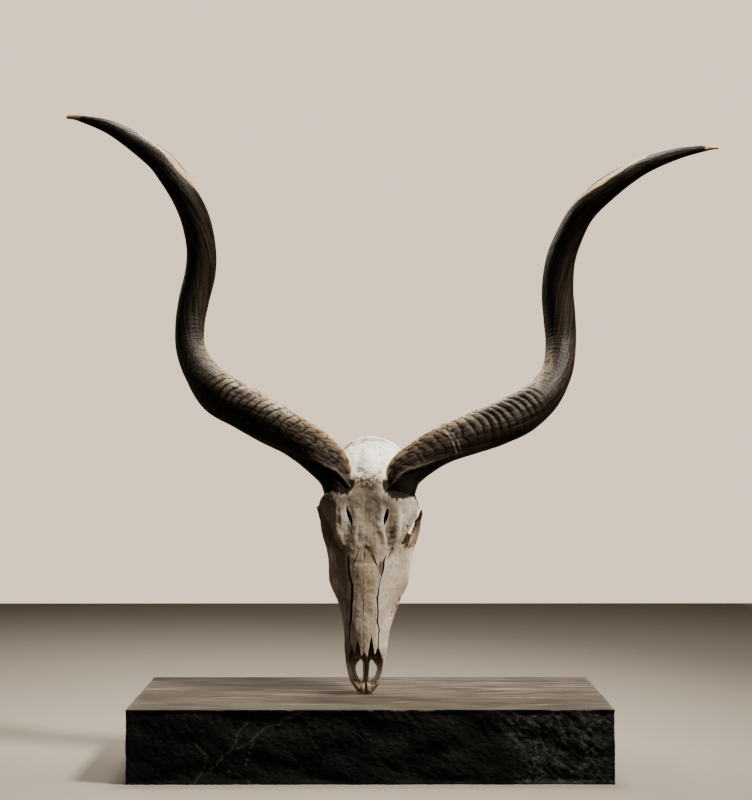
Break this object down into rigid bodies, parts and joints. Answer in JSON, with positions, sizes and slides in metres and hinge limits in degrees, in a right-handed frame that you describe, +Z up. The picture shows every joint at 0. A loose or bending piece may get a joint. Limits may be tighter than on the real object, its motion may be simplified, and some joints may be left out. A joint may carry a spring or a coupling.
{
  "type": "kudu skull",
  "caption": "Greater kudu skull with long corkscrew horns and its cheek teeth, standing nose down on a steel pin in a dark stone slab with riven sides.",
  "frame": {"origin": "middle of the slab's flat underside", "axes": "+Z up, +X to the right of someone facing the skull, -Y towards them; the face of the skull looks along -Y and its nose points down"},
  "size_m": [1.0596, 0.3749, 1.0393],
  "materials": {
    "bone": "dry matt bone, weathered near white on the dome and stained brown in its hollows",
    "horn": "satin keratin, ribbed, with worn pale streaks",
    "tooth": "satin enamel, stained",
    "stone": "honed top and rough riven sides",
    "steel": "darkened"
  },
  "bodies": {
    "root": {"skull": "bone", "left_horn": "horn", "right_horn": "horn", "tooth_left_1": "tooth", "tooth_left_2": "tooth", "tooth_left_3": "tooth", "tooth_left_4": "tooth", "tooth_left_5": "tooth", "tooth_left_6": "tooth", "tooth_right_1": "tooth", "tooth_right_2": "tooth", "tooth_right_3": "tooth", "tooth_right_4": "tooth", "tooth_right_5": "tooth", "tooth_right_6": "tooth", "slab": "stone", "mounting_pin": "steel"}
  },
  "joints": []
}
